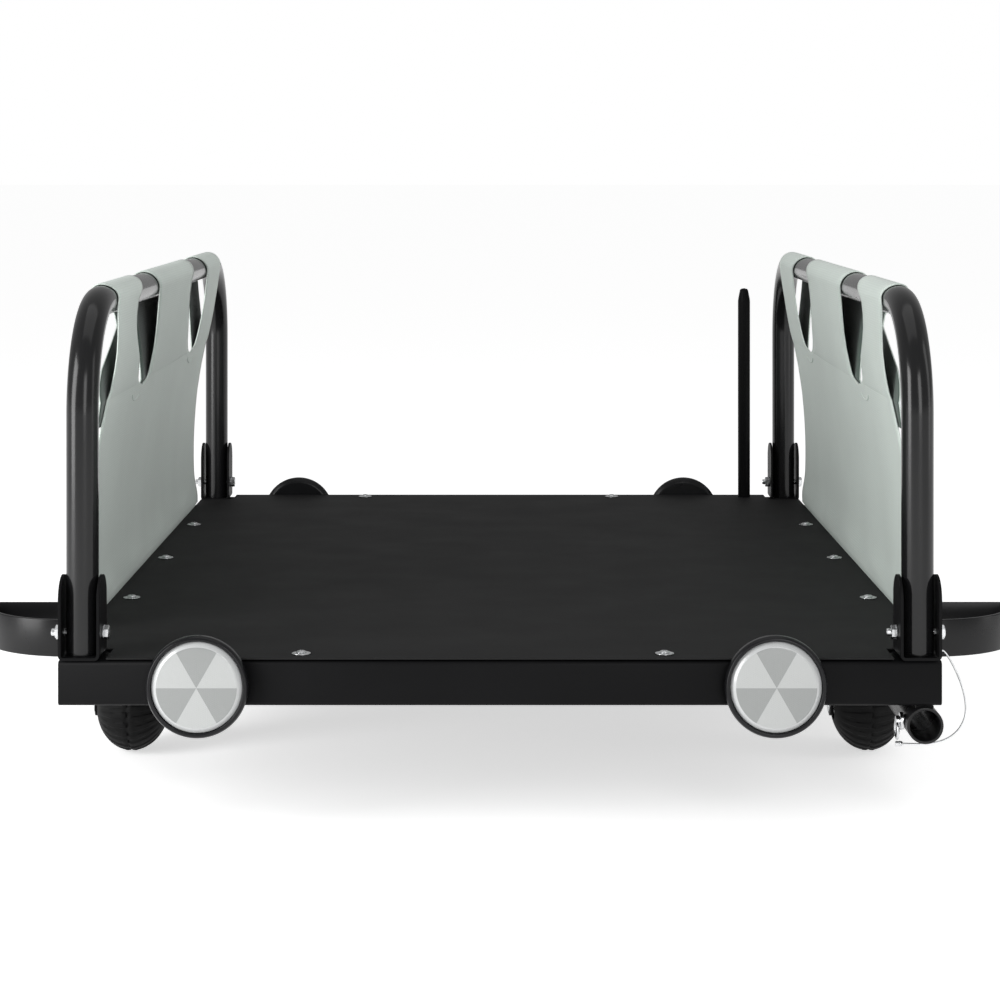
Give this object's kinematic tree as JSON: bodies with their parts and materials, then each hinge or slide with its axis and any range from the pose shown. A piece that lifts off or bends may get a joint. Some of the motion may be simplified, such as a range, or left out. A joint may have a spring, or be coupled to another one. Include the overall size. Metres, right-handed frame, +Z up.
{
  "type": "firewood log rack",
  "caption": "Low rolling log rack: a flat steel deck on a square-tube frame, tube hoops at both sides with hanging fabric slings, swivel casters and round reflectors.",
  "frame": {"origin": "centre of the footprint, on the floor", "axes": "+Z up, -Y towards the front, +X to the right"},
  "size_m": [0.8516, 0.9388, 0.4255],
  "materials": {
    "black_steel": "black powder coat, satin",
    "deck": "matte black sheet",
    "zinc": "bright zinc plate",
    "cord": "light grey coated wire",
    "rubber": "black rubber",
    "black_plastic": "black moulded plastic",
    "lens": "clear reflector lens in six sectors",
    "sage_fabric": "sage grey woven fabric, matte"
  },
  "bodies": {
    "frame": {"bolt_front_left": "zinc", "bolt_front_right": "zinc", "bolt_rear_left": "zinc", "bolt_rear_right": "zinc", "bracket_front_left": "black_steel", "bracket_front_right": "black_steel", "bracket_rear_left": "black_steel", "bracket_rear_right": "black_steel", "caster_base_front_left": "black_steel", "caster_base_front_right": "black_steel", "caster_base_rear_left": "black_steel", "caster_base_rear_right": "black_steel", "center_rail": "black_steel", "deck": "deck", "deck_screw_front_1": "zinc", "deck_screw_front_2": "zinc", "deck_screw_left_1": "zinc", "deck_screw_left_2": "zinc", "deck_screw_left_3": "zinc", "deck_screw_rear_1": "zinc", "deck_screw_rear_2": "zinc", "deck_screw_right_1": "zinc", "deck_screw_right_2": "zinc", "deck_screw_right_3": "zinc", "front_rail": "black_steel", "hoop_left": "black_steel", "hoop_right": "black_steel", "lanyard": "cord", "left_rail": "black_steel", "rear_post": "black_steel", "rear_rail": "black_steel", "receiver_tube": "black_steel", "reflector_front_left_cup": "black_plastic", "reflector_front_left_lens": "lens", "reflector_front_right_cup": "black_plastic", "reflector_front_right_lens": "lens", "reflector_rear_left_cup": "black_plastic", "reflector_rear_left_lens": "lens", "reflector_rear_right_cup": "black_plastic", "reflector_rear_right_lens": "lens", "right_rail": "black_steel", "side_loop_left": "black_steel", "side_loop_right": "black_steel", "sling_left": "sage_fabric", "sling_right": "sage_fabric"},
    "pin": {"cross_pin": "zinc", "lanyard_ferrule": "zinc"},
    "fork_front_left": {"caster_fork_front_left": "black_steel"},
    "wheel_front_left": {"caster_wheel_front_left": "rubber"},
    "fork_front_right": {"caster_fork_front_right": "black_steel"},
    "wheel_front_right": {"caster_wheel_front_right": "rubber"},
    "fork_rear_left": {"caster_fork_rear_left": "black_steel"},
    "wheel_rear_left": {"caster_wheel_rear_left": "rubber"},
    "fork_rear_right": {"caster_fork_rear_right": "black_steel"},
    "wheel_rear_right": {"caster_wheel_rear_right": "rubber"}
  },
  "joints": [
    {"name": "pin_pull", "type": "slide", "parent": "frame", "child": "pin", "axis": [-1, 0, 0], "range_m": [0, 0.03]},
    {"name": "swivel_front_left", "type": "hinge", "parent": "frame", "child": "fork_front_left", "pos_m": [-0.3285, -0.215, 0.09], "axis": [0, 0, 1], "continuous": true},
    {"name": "roll_front_left", "type": "hinge", "parent": "fork_front_left", "child": "wheel_front_left", "pos_m": [-0.3285, -0.19, 0.039], "axis": [1, 0, 0], "continuous": true},
    {"name": "swivel_front_right", "type": "hinge", "parent": "frame", "child": "fork_front_right", "pos_m": [0.3285, -0.215, 0.09], "axis": [0, 0, 1], "continuous": true},
    {"name": "roll_front_right", "type": "hinge", "parent": "fork_front_right", "child": "wheel_front_right", "pos_m": [0.3285, -0.19, 0.039], "axis": [1, 0, 0], "continuous": true},
    {"name": "swivel_rear_left", "type": "hinge", "parent": "frame", "child": "fork_rear_left", "pos_m": [-0.3285, 0.215, 0.09], "axis": [0, 0, 1], "continuous": true},
    {"name": "roll_rear_left", "type": "hinge", "parent": "fork_rear_left", "child": "wheel_rear_left", "pos_m": [-0.3285, 0.24, 0.039], "axis": [1, 0, 0], "continuous": true},
    {"name": "swivel_rear_right", "type": "hinge", "parent": "frame", "child": "fork_rear_right", "pos_m": [0.3285, 0.215, 0.09], "axis": [0, 0, 1], "continuous": true},
    {"name": "roll_rear_right", "type": "hinge", "parent": "fork_rear_right", "child": "wheel_rear_right", "pos_m": [0.3285, 0.24, 0.039], "axis": [1, 0, 0], "continuous": true}
  ]
}
